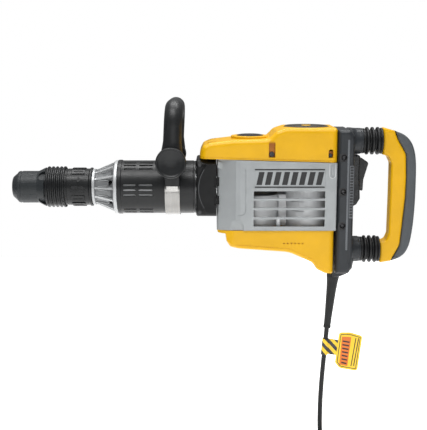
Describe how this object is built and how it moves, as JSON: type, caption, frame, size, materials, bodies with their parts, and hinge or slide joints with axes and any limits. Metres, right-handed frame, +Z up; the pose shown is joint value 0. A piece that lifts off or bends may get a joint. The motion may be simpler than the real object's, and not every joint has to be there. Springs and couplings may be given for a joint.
{
  "type": "demolition hammer",
  "caption": "Heavy corded demolition hammer with a chisel socket, slotted barrel, swivelling side bail, sprung rear handle and a vertical motor.",
  "frame": {"origin": "centre of the tool socket's mouth, on the hammering axis", "axes": "+X along the hammering axis towards the rear handle, the chisel leaves towards -X, +Z up, the side with the visible screws is -Y"},
  "size_m": [0.731, 0.2211, 0.6815],
  "materials": {
    "rubber": "matt moulded rubber",
    "steel": "ground steel",
    "screw_steel": "blackened steel",
    "winding_copper": "lacquered copper on steel laminations",
    "black_plastic": "fine grained, satin",
    "grey_plastic": "fine grained, satin",
    "grip_rubber": "soft overmoulded grip",
    "yellow_plastic": "satin moulded shell",
    "silver_casting": "painted casting, satin",
    "carbon": "pressed carbon",
    "tag_plastic": "printed sheet"
  },
  "bodies": {
    "housing": {"nose_cone": "silver_casting", "barrel_sleeve": "black_plastic", "cylinder_tube": "steel", "front_flange": "black_plastic", "gear_housing": "silver_casting", "top_cover": "yellow_plastic", "crank_cap": "black_plastic", "vent_cap": "grey_plastic", "bottom_housing": "yellow_plastic", "rear_housing_left": "grey_plastic", "rear_housing_right": "grey_plastic", "housing_screw_upper": "screw_steel", "housing_screw_middle": "screw_steel", "housing_screw_lower": "screw_steel", "switch_bezel": "black_plastic", "switch_body": "black_plastic", "crank_bearing_lower": "steel", "crank_bearing_upper": "steel", "stator": "steel", "motor_can": "silver_casting", "rotor_bearing_lower": "steel", "rotor_bearing_upper": "steel", "brush_left": "carbon", "brush_right": "carbon", "cord_guard": "rubber", "power_cord": "rubber", "cord_coil": "rubber", "cord_tail": "rubber", "mains_plug": "rubber", "cord_tag": "tag_plastic", "bellows_upper": "rubber", "bellows_lower": "rubber"},
    "chuck": {"dust_cap": "rubber", "tool_holder": "steel", "lock_segment_left": "steel", "lock_segment_right": "steel", "index_collar": "black_plastic", "lock_spring": "steel"},
    "sleeve": {"lock_sleeve": "black_plastic"},
    "beat": {"beat_piece": "steel"},
    "ram": {"ram": "steel"},
    "piston": {"piston": "steel"},
    "rotor": {"rotor_shaft": "steel", "rotor_core": "winding_copper", "cooling_fan": "black_plastic"},
    "idler": {"idler_gear": "steel"},
    "crank": {"crankshaft": "steel", "crank_gear": "steel"},
    "rod": {"connecting_rod": "steel", "wrist_pin": "steel"},
    "clamp": {"clamp_saddle": "black_plastic", "clamp_band": "steel", "clamp_bolt": "steel"},
    "bail": {"side_handle": "black_plastic"},
    "knob": {"clamp_knob": "black_plastic"},
    "handle": {"handle_frame": "yellow_plastic", "rear_grip": "grip_rubber", "guide_rod_upper": "steel", "guide_rod_lower": "steel"},
    "rocker": {"rocker_switch": "black_plastic"}
  },
  "joints": [
    {"name": "chuck_turn", "type": "hinge", "parent": "housing", "child": "chuck", "pos_m": [0.1, 0, 0], "axis": [1, 0, 0], "continuous": true},
    {"name": "sleeve_slide", "type": "slide", "parent": "chuck", "child": "sleeve", "axis": [1, 0, 0], "range_m": [0, 0.008], "stiffness_N_per_m": 3000, "deforming": ["lock_spring"]},
    {"name": "beat_slide", "type": "slide", "parent": "housing", "child": "beat", "axis": [1, 0, 0], "range_m": [-0.003, 0.008]},
    {"name": "ram_slide", "type": "slide", "parent": "housing", "child": "ram", "axis": [1, 0, 0], "range_m": [-0.008, 0.02]},
    {"name": "piston_slide", "type": "slide", "parent": "housing", "child": "piston", "axis": [1, 0, 0], "range_m": [0, 0.03]},
    {"name": "rotor_spin", "type": "hinge", "parent": "housing", "child": "rotor", "pos_m": [0.534, 0, 0], "axis": [0, 0, 1], "continuous": true},
    {"name": "idler_spin", "type": "hinge", "parent": "housing", "child": "idler", "pos_m": [0.488, 0, 0], "axis": [0, 0, 1], "continuous": true},
    {"name": "crank_spin", "type": "hinge", "parent": "housing", "child": "crank", "pos_m": [0.43395, 0, 0], "axis": [0, 0, 1], "continuous": true},
    {"name": "rod_swing", "type": "hinge", "parent": "crank", "child": "rod", "pos_m": [0.41895, 0, 0], "axis": [0, 0, 1], "continuous": true},
    {"name": "clamp_turn", "type": "hinge", "parent": "housing", "child": "clamp", "pos_m": [0.291, 0, 0], "axis": [1, 0, 0], "continuous": true},
    {"name": "bail_tilt", "type": "hinge", "parent": "clamp", "child": "bail", "pos_m": [0.291, 0, 0.0535], "axis": [0, 1, 0], "range_deg": [-45, 35]},
    {"name": "knob_turn", "type": "hinge", "parent": "clamp", "child": "knob", "pos_m": [0.291, -0.09, 0.0535], "axis": [0, 1, 0], "continuous": true},
    {"name": "handle_float", "type": "slide", "parent": "housing", "child": "handle", "axis": [1, 0, 0], "range_m": [-0.008, 0.002], "stiffness_N_per_m": 20000, "deforming": ["bellows_upper", "bellows_lower"]},
    {"name": "rocker_press", "type": "hinge", "parent": "housing", "child": "rocker", "pos_m": [0.622, 0, 0.024], "axis": [0, 1, 0], "range_deg": [-10, 0]}
  ],
  "couplings": [
    {"joint": "idler_spin", "follows": "rotor_spin", "ratio": -0.25},
    {"joint": "crank_spin", "follows": "rotor_spin", "ratio": 0.095588},
    {"joint": "rod_swing", "follows": "rotor_spin", "ratio": -0.095588}
  ]
}
